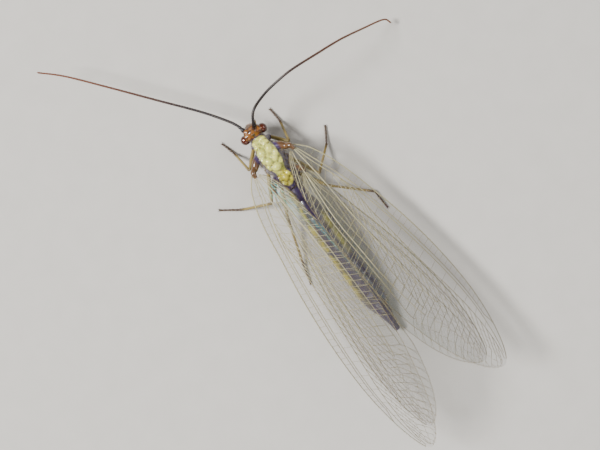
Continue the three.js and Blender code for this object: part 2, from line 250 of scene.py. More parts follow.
def makeCuticle():
    # Waxy insect cuticle, hardened in place: a soft gloss over mottled plates, slightly see-through, with
    # painted shade darkened into its hollows.
    material, tree = newMaterial("waxyCuticle")
    marks = addNode(tree, "ShaderNodeAttribute", {"attribute_name": "Marks"})
    split = addNode(tree, "ShaderNodeSeparateColor", links={"Color": marks.outputs["Color"]})
    place = addNode(tree, "ShaderNodeNewGeometry").outputs["Position"]
    blotch = addNode(tree, "ShaderNodeTexNoise", {"Scale": perMetre(cuticlePattern["blotch"]), "Detail": 3},
                     {"Vector": place})
    grain = addNode(tree, "ShaderNodeTexNoise", {"Scale": perMetre(cuticlePattern["grain"]), "Detail": 2},
                    {"Vector": place})
    c = {name: hexColour(text) for name, text in cuticleColours.items()}
    dark = mixColours(tree, blotch.outputs["Fac"], c["side"], c["sideGlint"])
    pale = mixColours(tree, blotch.outputs["Fac"], c["cream"], c["green"])
    patch = addNode(tree, "ShaderNodeMapRange", {"From Min": 0.42, "From Max": 0.56},
                    {"Value": blotch.outputs["Fac"]})
    amber = mixColours(tree, patch.outputs[0], c["amberDark"], c["amber"])
    tan = mixColours(tree, blotch.outputs["Fac"], c["tanDark"], c["tan"])
    colour = mixColours(tree, split.outputs[0], dark, pale)
    colour = mixColours(tree, split.outputs[1], colour, c["yellow"])
    colour = mixColours(tree, split.outputs[2], colour, amber)
    colour = mixColours(tree, marks.outputs["Alpha"], colour, tan)
    # painted shade: hollows darkened three quarters of the way to the furrow colour
    hollowShade = addNode(tree, "ShaderNodeAttribute", {"attribute_name": "HollowShade"})
    shade = mixColours(tree, 0.75, colour, c["furrowShade"])
    colour = mixColours(tree, hollowShade.outputs["Fac"], colour, shade)
    bump = addNode(tree, "ShaderNodeBump", {"Strength": 0.25, "Distance": 0.01 * mm},
                   {"Height": grain.outputs["Fac"]})
    shader = addNode(tree, "ShaderNodeBsdfPrincipled", {
        "Roughness": 0.3, "IOR": 1.53, "Coat Weight": 0.5, "Coat Roughness": 0.1,
        "Subsurface Weight": 0.08, "Subsurface Scale": 0.2 * mm,
    }, {"Base Color": colour, "Normal": bump.outputs[0]})
    finishMaterial(tree, shader)
    return material


eyeLook = {"near": "56210a", "far": "140506", "facet": 0.027778}  # facet in mm, the width of one lens


def makeEye():
    # Faceted compound eye: copper under a clear hard lens layer, so it glints like a bead.
    material, tree = newMaterial("copperEye")
    place = addNode(tree, "ShaderNodeNewGeometry").outputs["Position"]
    facets = addNode(tree, "ShaderNodeTexVoronoi", {"Scale": perMetre(eyeLook["facet"])}, {"Vector": place})
    rim = addNode(tree, "ShaderNodeLayerWeight", {"Blend": 0.45})
    colour = mixColours(tree, rim.outputs["Facing"], hexColour(eyeLook["near"]), hexColour(eyeLook["far"]))
    bump = addNode(tree, "ShaderNodeBump", {"Strength": 0.35, "Distance": 0.008 * mm, "invert": True},
                   {"Height": facets.outputs["Distance"]})
    shader = addNode(tree, "ShaderNodeBsdfPrincipled", {
        "Roughness": 0.16, "IOR": 1.56, "Metallic": 0.25, "Coat Weight": 0.7, "Coat Roughness": 0.05,
    }, {"Base Color": colour, "Normal": bump.outputs[0]})
    finishMaterial(tree, shader)
    return material


def makeShaded(name, nearHex, farHex, roughness, grainSize):
    # Horny cuticle: satin, its colour going from near to far by the weight painted along each piece.
    material, tree = newMaterial(name)
    along = addNode(tree, "ShaderNodeAttribute", {"attribute_name": "Along"})
    place = addNode(tree, "ShaderNodeNewGeometry").outputs["Position"]
    grain = addNode(tree, "ShaderNodeTexNoise", {"Scale": perMetre(grainSize), "Detail": 3},
                    {"Vector": place})
    wander = addNode(tree, "ShaderNodeMath", {"operation": "MULTIPLY_ADD", 1: 0.4, 2: -0.2},
                     {0: grain.outputs["Fac"]})
    weight = addNode(tree, "ShaderNodeMath", {"operation": "ADD", "use_clamp": True},
                     {0: along.outputs["Fac"], 1: wander.outputs[0]})
    colour = mixColours(tree, weight.outputs[0], hexColour(nearHex), hexColour(farHex))
    bump = addNode(tree, "ShaderNodeBump", {"Strength": 0.3, "Distance": 0.006 * mm},
                   {"Height": grain.outputs["Fac"]})
    shader = addNode(tree, "ShaderNodeBsdfPrincipled", {"Roughness": roughness, "IOR": 1.53},
                     {"Base Color": colour, "Normal": bump.outputs[0]})
    finishMaterial(tree, shader)
    return material


membraneLook = {"tint": "98967f", "shade": "4c4642", "alpha": 0.085, "filmNanometres": 380, "ripple": 0.38462}


def makeMembrane():
    # Clear chitin film: mostly see-through, with a thin-film sheen of violet and green.
    material, tree = newMaterial("clearMembrane")
    place = addNode(tree, "ShaderNodeNewGeometry").outputs["Position"]
    ripple = addNode(tree, "ShaderNodeTexNoise", {"Scale": perMetre(membraneLook["ripple"]), "Detail": 4},
                     {"Vector": place})
    tint, shade = hexColour(membraneLook["tint"]), hexColour(membraneLook["shade"])
    colour = mixColours(tree, ripple.outputs["Fac"], tint, shade)
    bump = addNode(tree, "ShaderNodeBump", {"Strength": 0.6, "Distance": 0.03 * mm},
                   {"Height": ripple.outputs["Fac"]})
    shader = addNode(tree, "ShaderNodeBsdfPrincipled", {
        "Roughness": 0.2, "IOR": 1.56, "Alpha": membraneLook["alpha"], "Specular IOR Level": 0.9,
        "Thin Film Thickness": membraneLook["filmNanometres"], "Thin Film IOR": 1.35,
    }, {"Base Color": colour, "Normal": bump.outputs[0]})
    finishMaterial(tree, shader)
    return material


cuticle = makeCuticle()
copperEye = makeEye()
# For each: colour at weight 0, colour at weight 1, roughness, width of its grain in mm
feelerHorn = makeShaded("feelerHorn", "120a0e", "6b3a22", 0.42, 0.0625)
legHorn = makeShaded("legHorn", "8d7a40", "3a2212", 0.4, 0.11111)
clawHorn = makeShaded("clawHorn", "3a2414", "3a2414", 0.3, 0.11111)
veinHorn = makeShaded("veinHorn", "b5ad86", "4c422c", 0.38, 0.14286)
hairHorn = makeShaded("hairHorn", "a08850", "3c2e1e", 0.5, 0.11111)
membrane = makeMembrane()
print("materials made")

# The roof that the wings are folded into; their surfaces lie near the top of the solids

roof = {
    "baseX": 0.98, "baseY": 0.05, "baseZ": 2.5, "camber": 0.2, "rootHalf": 0.2,
    "ridgeLean": -0.24, "ridgeLength": 9.5, "ridgeGap": 0.03,
    "span": 15, "settled": 0.3,  # the slope has settled at this share of the span
}
fold = {
    "left": {"side": 1, "yaw": 4.1, "pitch": 1.2, "rootSlope": 32, "slope": 48.5, "stretch": 1.03},
    "right": {"side": -1, "yaw": 7.9, "pitch": 1.6, "rootSlope": 36, "slope": 47, "stretch": 0.965},
}
foreWing = {
    "start": 0, "length": 15, "front": 2.1, "rear": 2.75, "frontRise": 0.75, "rearRise": 0.8, "fall": 0.62,
    "drop": 0, "lift": 0.2, "tipLift": 0.07,
}
hindWing = {
    "start": 1.2, "length": 13, "front": 1.35, "rear": 2.5, "frontRise": 1.1, "rearRise": 0.95, "fall": 0.62,
    "drop": 0.675, "lift": 0.18, "tipLift": 0.07,
}


def roofAt(pose, distance):
    yaw, pitch = math.radians(pose["yaw"]), math.radians(pose["pitch"])
    settled = smooth(distance / roof["span"] / roof["settled"])
    slope = math.radians(mix(pose["rootSlope"], pose["slope"], settled))
    side = pose["side"]
    along = vec(side * math.sin(yaw) * math.cos(pitch), math.cos(yaw) * math.cos(pitch), math.sin(pitch))
    out = vec(side * math.cos(yaw) * math.cos(slope), -math.sin(yaw) * math.cos(slope), -math.sin(slope))
    out = (out - along * out.dot(along)).normalized()
    normal = (along.cross(out) * -side).normalized()
    return vec(side * roof["baseX"], roof["baseY"], roof["baseZ"]) + along * distance, out, normal


def reach(t, widest, rise, fall):
    t = min(max(t, 0), 1)
    peak = rise / (rise + fall)
    return widest * (t ** rise * (1 - t) ** fall) / (peak ** rise * (1 - peak) ** fall)


def ridgeX(y):
    return roof["ridgeLean"] * smooth(y / roof["ridgeLength"])


def wingPoint(pose, shape, t, across, lift=0):
    # t runs from root to tip, across from the front margin to the hind margin
    centre, out, normal = roofAt(pose, (shape["start"] + shape["length"] * t) * pose["stretch"])
    root = roof["rootHalf"] * (1 - min(t, 1)) ** 2 * mix(0.3, 1, smooth(t / 0.05))
    front = root + reach(t, shape["front"], shape["frontRise"], shape["fall"])
    rear = root + reach(t, shape["rear"], shape["rearRise"], shape["fall"])
    raised = mix(shape["lift"], shape["tipLift"], smooth((t - 0.72) / 0.28))
    drop = shape["drop"] * (1 - 0.12 * smooth(1 - t / 0.1)) - raised
    limit = ridgeX(centre.y) + pose["side"] * roof["ridgeGap"] / 2
    room = abs((centre.x - normal.x * drop - limit) / out.x)
    rear = min(rear, room)
    arch = roof["camber"] * 4 * across * (1 - across) * smooth(t / 0.2) * max(1 - t, 0) ** 0.5
    return centre + out * (front - across * (front + rear)) + normal * (arch - drop + lift)


# The body skin: head, thorax and abdomen as one surface, remeshed from overlapping forms

bodyShape = {
    "voxel": 0.032,
    "abdomenStart": 1.6,
    "abdomenEnd": 10.15,
    "rings": 9,
    "shrink": 0.02,  # the abdomen's skin lies this far inside its solid
    "relax": 0.5,
    "relaxSteps": 3,
}

legs = {
    "fore_left": [vec(0.2, -0.9, 1.25), vec(0.46, -0.98, 0.82), vec(1.25, -0.2, 1.35),
                  vec(1.42, -1.3, 0.16), vec(1.62, -2.05, 0.07)],
    "fore_right": [vec(-0.2, -0.9, 1.25), vec(-0.46, -0.98, 0.82), vec(-1.12, -0.18, 1.35),
                   vec(-1.3, -1.25, 0.16), vec(-1.25, -2.0, 0.07)],
    "mid_left": [vec(0.25, 0.1, 1.2), vec(0.58, 0.3, 0.78), vec(1.35, 1.7, 1.1), vec(2.85, 1.0, 0.16),
                 vec(3.65, 0.42, 0.07)],
    "mid_right": [vec(-0.25, 0.1, 1.2), vec(-0.58, 0.3, 0.78), vec(-1.35, 1.9, 1.1), vec(-2.45, 0.95, 0.16),
                  vec(-2.88, 0.25, 0.07)],
    "hind_left": [vec(0.22, 1.05, 1.2), vec(0.5, 1.22, 0.78), vec(1.2, 2.75, 0.85), vec(2.0, 5.0, 0.16),
                  vec(2.26, 5.9, 0.07)],
    "hind_right": [vec(-0.22, 1.05, 1.2), vec(-0.5, 1.22, 0.78), vec(-1.3, 2.6, 0.85), vec(-2.92, 4.2, 0.16),
                   vec(-2.95, 5.15, 0.07)],
}


def crossSection(y, x, low, high, half, sides=24, squareness=0.9):
    ring = []
    for j in range(sides):
        angle = 2 * math.pi * j / sides
        up = math.copysign(abs(math.cos(angle)) ** squareness, math.cos(angle))
        out = math.copysign(abs(math.sin(angle)) ** squareness, math.sin(angle))
        ring.append(vec(x + half * out, y, (low + high) / 2 + (high - low) / 2 * up))
    return ring


def torso(sections):
    # Each section: y, lowest z, highest z, half width
    rings = spline([vec(*section) for section in sections], 5 * (len(sections) - 1))
    return ringsToMesh([crossSection(y, 0, low, high, half) for y, low, high, half in rings])


def ball(centre, radii, columns=24, rows=16):
    vertices = [centre + vec(0, 0, radii.z)]
    faces = []
    for i in range(1, rows):
        polar = math.pi * i / rows
        for j in range(columns):
            turn = 2 * math.pi * j / columns
            x = radii.x * math.sin(polar) * math.cos(turn)
            y = radii.y * math.sin(polar) * math.sin(turn)
            vertices.append(centre + vec(x, y, radii.z * math.cos(polar)))
    vertices.append(centre - vec(0, 0, radii.z))
    for j in range(columns):
        k = (j + 1) % columns
        faces.append((0, 1 + j, 1 + k))
        last = len(vertices) - 1
        faces.append((last, last - columns + k, last - columns + j))
    for i in range(rows - 2):
        for j in range(columns):
            a, b = 1 + i * columns + j, 1 + i * columns + (j + 1) % columns
            faces.append((a, a + columns, b + columns, b))
    return vertices, faces


def abdomenHalf(t):
    swell = 0.42 + 0.27 * smooth(t / 0.28)
    return swell * (1 - 0.72 * smooth((t - 0.72) / 0.28))


def abdomenMiddle(t):
    return 1.56 - 0.72 * smooth(t / 0.6) - 0.45 * smooth((t - 0.45) / 0.55)


def abdomenBend(t):
    return 0.18 * smooth(t / 0.8)


def abdomenForm():
    length = bodyShape["abdomenEnd"] - bodyShape["abdomenStart"]
    rings = []
    perPlate, sides = 10, 32  # rings for each plate, points in each ring
    seam, seamWidth = 0.85, 0.15  # the groove behind each plate, in shares of its length
    lead = 6  # rings sunk into the thorax
    flat, dent = 0.86, 0.03
    steps = perPlate * bodyShape["rings"]
    for i in range(-lead, steps + 1):
        t = max(i, 0) / steps
        phase = (i % perPlate) / perPlate
        plate = 0.97 + 0.035 * math.sin(math.pi * min(phase / seam, 1)) ** 0.6
        if phase > seam:
            plate -= 0.05 * math.sin(math.pi * (phase - seam) / seamWidth)
        half = abdomenHalf(t) * plate - bodyShape["shrink"]
        middle = abdomenMiddle(t)
        y = bodyShape["abdomenStart"] + length * i / steps
        ring = crossSection(y, abdomenBend(t), middle - half * flat, middle + half * flat, half, sides, 1)
        for k, p in enumerate(ring):  # a soft fold along each flank, between back and belly plates
            angle = 2 * math.pi * k / sides
            crease = math.exp(-((abs(abs(angle - math.pi) - math.pi / 2) / 0.16) ** 2))
            p.x -= math.copysign(dent * crease, p.x - abdomenBend(t))
        rings.append(ring)
    tip = rings[-1]
    centre = sum(tip, Vector()) / len(tip)
    for scale, ahead in ((0.8, 0.05), (0.45, 0.09)):
        rings.append([centre + (p - centre) * scale + vec(0, ahead, 0) for p in tip])
    return ringsToMesh(rings)


def jointedPath(points, bend=0.1):
    path = [points[0]]
    for before, corner, after in zip(points, points[1:], points[2:]):
        into = (corner - before).normalized()
        out = (after - corner).normalized()
        start, end = corner - into * bend, corner + out * bend
        for i in range(5):
            u = i / 4
            path.append(start * (1 - u) ** 2 + corner * 2 * u * (1 - u) + end * u * u)
    path.append(points[-1])
    return path


# Round forms of the body: middle, then half sizes
middleForms = [
    (0, -1.84, 1.42, 0.24, 0.2, 0.3),  # clypeus
    (0, -1.84, 1.12, 0.2, 0.13, 0.14),  # upper lip
    (0, -1.56, 1.02, 0.26, 0.26, 0.16),  # jaws
    (0, -1.58, 0.82, 0.17, 0.17, 0.14),  # lower lip
    (0, -1.56, 2.2, 0.25, 0.16, 0.09),  # crown
    (0, -1.8, 1.86, 0.13, 0.12, 0.2),  # brow between the feelers
    (0, 0.46, 2.5, 0.24, 0.22, 0.17),  # scutellum
    (0, 1.1, 2.3, 0.16, 0.2, 0.13),
]
pairedForms = [
    (0.24, -1.74, 2.02, 0.14, 0.14, 0.12),  # feeler socket
    (0.34, -1.5, 2.0, 0.17, 0.22, 0.16),  # temple behind the eye
    (0.2, -1.02, 2.26, 0.19, 0.13, 0.12),  # four lobes of the pronotum
    (0.22, -0.8, 2.33, 0.2, 0.12, 0.11),
    (0.21, -0.46, 2.54, 0.22, 0.24, 0.19),  # shield lobes
    (0.36, -0.14, 2.52, 0.18, 0.22, 0.17),
    (0.17, 0.06, 2.56, 0.17, 0.2, 0.14),
    (0.33, 0.3, 2.44, 0.15, 0.18, 0.13),
    (0.5, -0.1, 1.62, 0.2, 0.36, 0.5),  # side plates
    (0.46, 0.35, 1.45, 0.17, 0.3, 0.5),
    (0.36, 1.2, 1.5, 0.17, 0.26, 0.46),
    (0.24, 0.98, 2.24, 0.18, 0.16, 0.14),
    (0.22, 1.32, 2.16, 0.17, 0.15, 0.12),
    (0.2, 9.95, 0.5, 0.07, 0.25, 0.14),  # end plates
]


def bodyForms():
    forms = [
        torso([(-1.97, 1.4, 1.86, 0.2), (-1.84, 1.24, 2.08, 0.36), (-1.66, 1.16, 2.22, 0.44),
               (-1.48, 1.22, 2.25, 0.45), (-1.32, 1.36, 2.16, 0.4), (-1.12, 1.4, 2.06, 0.3)]),
        torso([(-1.25, 1.32, 2.1, 0.34), (-1.1, 1.16, 2.26, 0.42), (-0.95, 1.12, 2.34, 0.45),
               (-0.78, 1.14, 2.3, 0.44), (-0.6, 1.14, 2.36, 0.44)]),
        torso([(-0.76, 1.1, 2.4, 0.44), (-0.5, 0.88, 2.6, 0.56), (-0.15, 0.76, 2.62, 0.63),
               (0.25, 0.76, 2.56, 0.59), (0.6, 0.84, 2.42, 0.5), (0.9, 0.94, 2.28, 0.42)]),
        torso([(0.8, 0.97, 2.26, 0.41), (1.1, 0.88, 2.3, 0.47), (1.35, 0.92, 2.2, 0.43),
               (1.7, 1.0, 2.08, 0.38)]),
    ]
    forms += [ball(vec(*form[:3]), vec(*form[3:])) for form in middleForms]
    forms.append(abdomenForm())
    for side in (1, -1):
        forms += [ball(vec(side * x, y, z), vec(*sizes)) for x, y, z, *sizes in pairedForms]
        pose = fold["left" if side > 0 else "right"]
        foreRoute = [vec(side * 0.4, -0.4, 2.36), vec(side * 0.7, -0.28, 2.44), vec(side * 0.92, -0.08, 2.5),
                     wingPoint(pose, foreWing, 0, 0.5), wingPoint(pose, foreWing, 0.018, 0.45)]
        forms.append(tube(spline(foreRoute, 16), [0.24 - 0.009 * i for i in range(17)], 12))
        hindRoute = [vec(side * 0.3, 0.85, 1.8), vec(side * 0.6, 0.98, 1.74),
                     wingPoint(pose, hindWing, 0, 0.5), wingPoint(pose, hindWing, 0.018, 0.45)]
        forms.append(tube(spline(hindRoute, 12), [0.2 - 0.01 * i for i in range(13)], 12))
    for top, hip, knee, *_ in legs.values():
        coxa = [top, top.lerp(hip, 0.5), hip, hip.lerp(knee, 0.1)]
        forms.append(tube(coxa, [0.2, 0.19, 0.15, 0.1], 12))
    return forms


def remeshed(name, meshes, material):
    vertices, faces = joinMeshes(meshes)
    mesh = bpy.data.meshes.new(name)
    mesh.from_pydata([tuple(v) for v in vertices], [], faces)
    piece = bpy.data.objects.new(name, mesh)
    bpy.context.scene.collection.objects.link(piece)
    remesh = piece.modifiers.new("remesh", "REMESH")
    remesh.mode = "VOXEL"
    remesh.voxel_size = bodyShape["voxel"]
    relax = piece.modifiers.new("relax", "SMOOTH")
    relax.factor = bodyShape["relax"]
    relax.iterations = bodyShape["relaxSteps"]
    evaluated = piece.evaluated_get(bpy.context.evaluated_depsgraph_get())
    done = bpy.data.meshes.new_from_object(evaluated)
    piece.modifiers.clear()
    piece.data = done
    bpy.data.meshes.remove(mesh)
    done.name = name
    keepLargest(done)
    done.materials.clear()
    done.materials.append(material)
    done.shade_smooth()
    return piece


def keepLargest(mesh):
    work = bmesh.new()
    work.from_mesh(mesh)
    seen, groups = set(), []
    for start in work.verts:
        if start in seen:
            continue
        group = [start]
        seen.add(start)
        for v in group:  # the list grows while neighbours are found
            for edge in v.link_edges:
                other = edge.other_vert(v)
                if other not in seen:
                    seen.add(other)
                    group.append(other)
        groups.append(group)
    groups.sort(key=len)
    bmesh.ops.delete(work, geom=[v for group in groups[:-1] for v in group], context="VERTS")
    work.to_mesh(mesh)
    work.free()


def toFrame(mesh):
    for v in mesh.vertices:
        v.co = (v.co + shift) * mm


def bodyMarks(p):
    wobble = 0.04 * noise.noise(p * 6)
    x, y, z = abs(p.x) + wobble, p.y, p.z
    pale = yellow = amber = tan = 0
    if y < -1.22:
        amber = 1
    elif y < 0.82:  # cream plates from the collar to the scutellum
        half = mix(0.4, 0.5, smooth((y + 1.2) / 0.9)) * mix(1, 0.62, smooth((y - 0.1) / 0.65))
        pale = smooth((half - x) / 0.08) * smooth((z - 2.02) / 0.12)
    if 0.7 < y < 1.7:  # a yellow saddle with a ragged edge
        saddle = smooth((1 - math.hypot(x / 0.36, (y - 1.12) / 0.46)) / 0.25) * smooth((z - 1.95) / 0.12)
        pale = max(pale, 0.5 * saddle)
        yellow = 0.8 * saddle
    if y > 1.5:
        t = (y - bodyShape["abdomenStart"]) / (bodyShape["abdomenEnd"] - bodyShape["abdomenStart"])
        t = min(max(t, 0), 1)
        half = abdomenHalf(t)
        across = (p.x - abdomenBend(t)) / half
        height = (z - abdomenMiddle(t)) / half
        ripple = math.sin(2 * math.pi * (t * bodyShape["rings"] - 0.2))
        beads = 0.6 + 0.35 * ripple + 0.6 * noise.noise(p * 3.5)
        if across > 0:  # the left stripe runs along the flank nearly to the tip
            stripe = math.exp(-(((across - 0.73 + 0.12 * noise.noise(p * 4)) / 0.19) ** 2))
            stripe *= smooth((height + 0.1) / 0.2)
            yellow = max(yellow, stripe * smooth(beads * 1.5) * smooth((0.86 - t) / 0.25))
        else:  # the right one is short, higher up and greener
            stripe = math.exp(-(((across + 0.58) / 0.17) ** 2)) * smooth((t - 0.18) / 0.08)
            stripe *= smooth((0.52 - t) / 0.1)
            pale = max(pale, 0.4 * stripe)
            yellow = max(yellow, 0.55 * stripe * smooth(beads * 1.3))
        belly = smooth((-height - 0.25) / 0.3)
        pale = max(pale, 0.5 * belly)
    if -0.8 < y < 1.4:  # brown at the wing roots
        tan = smooth((abs(p.x) - 0.6) / 0.14)
    if -1.34 < y < -1.22:
        amber *= smooth((-1.24 - y) / 0.08)
    return pale, min(yellow, 1), amber, tan


def paintHollowShade(mesh):
    # How deep each spot lies between its neighbours, spread a little, as the weight of painted shade in the
    # furrows and hollows
    depth = [0] * len(mesh.vertices)
    count = [0] * len(mesh.vertices)
    for edge in mesh.edges:
        a, b = (mesh.vertices[k] for k in edge.vertices)
        step = (b.co - a.co).normalized()
        for here, dip in ((a, step.dot(a.normal)), (b, -step.dot(b.normal))):
            depth[here.index] += dip
            count[here.index] += 1
    depth = [d / max(c, 1) for d, c in zip(depth, count)]
    for _ in range(2):
        total = depth[:]
        for edge in mesh.edges:
            a, b = edge.vertices
            total[a] += depth[b]
            total[b] += depth[a]
        depth = [t / (c + 1) for t, c in zip(total, count)]
    # the painted shade weight, strongest in the deepest hollows
    layer = mesh.attributes.new("HollowShade", "FLOAT", "POINT")
    for i, value in enumerate(depth):
        layer.data[i].value = smooth((value - 0.01) / 0.13)


def addBody():
    skin = remeshed("bodySkin", bodyForms(), cuticle)
    mesh = skin.data
    marks = mesh.attributes.new("Marks", "FLOAT_COLOR", "POINT")
    for v in mesh.vertices:
        v.co.z = max(v.co.z, 0)
        marks.data[v.index].color = bodyMarks(v.co)
    paintHollowShade(mesh)
    surface = [(v.co.copy(), v.normal.copy()) for v in mesh.vertices]
    toFrame(mesh)
    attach(skin, "root")
    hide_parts("head", "mouthparts", "prothorax", "mesothorax", "metathorax", "abdomen")
    return skin, surface


bodySkin, bodySurface = addBody()
print("body skin made", len(bodySkin.data.polygons))


def paintAlong(piece, weights):
    layer = piece.data.attributes.new("Along", "FLOAT", "POINT")
    for i, weight in enumerate(weights):
        layer.data[i].value = weight


# Eyes, palps and feelers

eyeShape = {"radius": 0.235, "spread": 0.5, "y": -1.46, "z": 1.86}


def addEyes():
    for name, side in (("left", 1), ("right", -1)):
        r = eyeShape["radius"]
        centre = vec(side * eyeShape["spread"], eyeShape["y"], eyeShape["z"])
        eye = makeObject("eye_" + name + "_lens", *ball(centre, vec(r, r * 1.02, r), 40, 28), copperEye)
        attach(eye, "root")
        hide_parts("eye_" + name)


palpShape = {"radius": 0.045, "joints": 5}


def addPalps():
    meshes, weights = [], []
    steps, sides = 40, 10
    for side in (1, -1):
        routes = [[vec(side * 0.16, -1.64, 0.9), vec(side * 0.3, -1.84, 0.9), vec(side * 0.36, -1.96, 0.76),
                   vec(side * 0.38, -2.04, 0.62)],
                  [vec(side * 0.07, -1.64, 0.78), vec(side * 0.12, -1.82, 0.72),
                   vec(side * 0.15, -1.88, 0.6)]]
        for route in routes:
            radii = []
            for i in range(steps + 1):
                joint = 0.75 + 0.25 * abs(math.sin(math.pi * palpShape["joints"] * i / steps)) ** 0.5
                radii.append(palpShape["radius"] * (1 - 0.35 * i / steps) * joint)
            meshes.append(tube(spline(route, steps), radii, sides))
            weights += [i / steps for i in range(steps + 1) for _ in range(sides)]
    palps = makeObject("palps", *joinMeshes(meshes), legHorn)
    paintAlong(palps, weights)
    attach(palps, "root")


limbSides = 12


def limbSurface(path, vertices):
    # Each vertex of a limb's tube, with the way out of the limb and the way along it, for its hair
    surface = []
    for k, v in enumerate(vertices):
        i = k // limbSides
        ahead, behind = path[min(i + 1, len(path) - 1)], path[max(i - 1, 0)]
        surface.append((v, (v - path[i]).normalized(), (ahead - behind).normalized()))
    return surface


feelerRoutes = {
    "left": [vec(0.27, -1.76, 1.98), vec(0.4, -2.28, 2.0), vec(0.73, -2.87, 1.95), vec(1.45, -3.91, 1.9),
             vec(2.73, -5.53, 1.9), vec(4.26, -7.48, 1.95), vec(5.55, -9.08, 2.05), vec(6.5, -10.02, 2.2)],
    "right": [vec(-0.26, -1.72, 2.04), vec(-0.36, -1.93, 2.38), vec(-0.58, -2.22, 2.54),
              vec(-0.85, -2.4, 2.62), vec(-1.25, -2.52, 2.9), vec(-1.84, -2.63, 3.3),
              vec(-2.65, -2.69, 3.6), vec(-3.39, -2.7, 3.7), vec(-4.69, -2.6, 3.5),
              vec(-5.98, -2.51, 2.8), vec(-7.19, -2.34, 1.6), vec(-8.21, -2.14, 0.75),
              vec(-8.42, -1.82, 0.4)],
}
feelerShape = {
    "base": 0.068, "tip": 0.038,  # radii of the thread at its ends
    "joint": 0.13, "stepsPerJoint": 5,
    "scape": 0.11, "scapeLength": 0.26,
    "pedicel": 0.085, "pedicelLength": 0.15,
}


def feelerRadius(way, length):
    if way < feelerShape["scapeLength"]:
        swell = math.sin(math.pi * way / feelerShape["scapeLength"]) ** 0.7
        return feelerShape["scape"] * (0.72 + 0.28 * swell)
    past = way - feelerShape["scapeLength"]
    if way < feelerShape["scapeLength"] + feelerShape["pedicelLength"]:
        swell = math.sin(math.pi * past / feelerShape["pedicelLength"])
        return feelerShape["pedicel"] * (0.75 + 0.25 * swell)
    phase = way / feelerShape["joint"] % 1
    ringed = 1 + 0.16 * math.sin(math.pi * phase) ** 2 - 0.05
    return mix(feelerShape["base"], feelerShape["tip"], way / length) * ringed


def addFeelers():
    surfaces = []
    for name, route in feelerRoutes.items():
        spacing = feelerShape["joint"] / feelerShape["stepsPerJoint"]
        path = evenSteps(spline(route, 300), spacing)
        length = spacing * (len(path) - 1)
        radii = []
        for i in range(len(path)):
            thread = feelerRadius(length * i / (len(path) - 1), length)
            radii.append(thread * (1 if i < len(path) - 2 else 0.55))
        vertices, faces = tube(path, radii, limbSides)
        feeler = makeObject("feeler_" + name, vertices, faces, feelerHorn)
        shades = [smooth(i / len(path) * 1.3 - 0.25) for i in range(len(path))]
        paintAlong(feeler, [shade for shade in shades for _ in range(limbSides)])
        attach(feeler, "root")
        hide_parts("scape_" + name, "antenna_base_" + name, "antenna_middle_" + name,
                    "antenna_tip_" + name)
        surfaces += limbSurface(path, vertices)
    return surfaces


# Legs: one jointed surface each, from the coxa to the last of five tarsal joints

legShape = {
    "coxa": 0.13, "femur": 0.105, "knee": 0.075, "tibia": 0.058, "tarsus": 0.05, "tarsomeres": 5,
    "step": 0.03,
}


def legRadius(part, u):
    if part == 0:
        return mix(legShape["coxa"], legShape["femur"] * 0.75, u)
    if part == 1:
        return legShape["femur"] * (0.72 + 0.3 * math.sin(math.pi * min(u * 1.05, 1)) ** 0.8) - 0.02 * u
    if part == 2:
        shin = mix(legShape["knee"], legShape["tibia"], smooth(u / 0.25))
        return shin * (1 + 0.12 * smooth((u - 0.85) / 0.15))
    phase = (u * legShape["tarsomeres"]) % 1
    return legShape["tarsus"] * (0.72 + 0.34 * phase ** 0.6) * (1 - 0.15 * u)


def legShade(part, u):
    # Dark at the knee and again towards the foot
    if part == 0:
        return 0
    if part == 3:
        return 1
    knee = 0.6 * math.exp(-(((1 - u) if part == 1 else u) / 0.09) ** 2)
    return max(knee, smooth((u - 0.75) / 0.25)) if part == 2 else knee


def addLegs():
    surfaces = []
    for name, points in legs.items():
        path = evenSteps(jointedPath(points), legShape["step"])
        lengths = [(b - a).length for a, b in zip(points, points[1:])]
        total = sum(lengths)
        radii, weights = [], []
        for i in range(len(path)):
            way = total * i / (len(path) - 1)
            part = 0
            while part < 3 and way > lengths[part]:
                way -= lengths[part]
                part += 1
            u = min(way / lengths[part], 1)
            radii.append(legRadius(part, u))
            weights.append(legShade(part, u))
        for i, p in enumerate(path):
            p.z = max(p.z, radii[i] * 0.98)
        vertices, faces = tube(path, radii, limbSides)
        for v in vertices:
            v.z = max(v.z, 0)
        leg = makeObject("leg_" + name, vertices, faces, legHorn)
        paintAlong(leg, [w for w in weights for _ in range(limbSides)])
        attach(leg, "root")
        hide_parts("femur_" + name, "tibia_" + name, "tarsus_" + name)
        surfaces += limbSurface(path, vertices)
        addClaws(name, path)
    return surfaces


def addClaws(name, path):
    ahead = (path[-1] - path[-4]).normalized()
    ahead.z = 0
    out = ahead.cross(vec(0, 0, 1)).normalized()
    meshes = []
    for side in (1, -1):
        root = path[-1] - ahead * 0.02
        route = [root, root + ahead * 0.06 + out * side * 0.04 + vec(0, 0, 0.015),
                 root + ahead * 0.11 + out * side * 0.05 - vec(0, 0, 0.02),
                 root + ahead * 0.12 + out * side * 0.045 - vec(0, 0, 0.055)]
        claw = spline(route, 10)
        for p in claw:
            p.z = max(p.z, 0.006)
        meshes.append(tube(claw, [mix(0.02, 0.004, i / 10) for i in range(11)], 8))
    pad = ball(path[-1] + ahead * 0.04 - vec(0, 0, 0.03), vec(0.03, 0.03, 0.022), 12, 8)
    for v in pad[0]:
        v.z = max(v.z, 0.001)
    meshes.append(pad)
    claws = makeObject("claws_" + name, *joinMeshes(meshes), clawHorn)
    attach(claws, "root")


addEyes()
addPalps()
feelerSurface = addFeelers()
legSurface = addLegs()
print("eyes, palps, feelers and legs made")

# Wings: a clear film on each, and its veins

filmShape = {
    "columns": 40, "rows": 110,
    "half": 0.008,  # half its thickness, drawn thicker than in life so that it stays a closed solid
    "crimp": 0.02, "crimpWaves": 60,
}


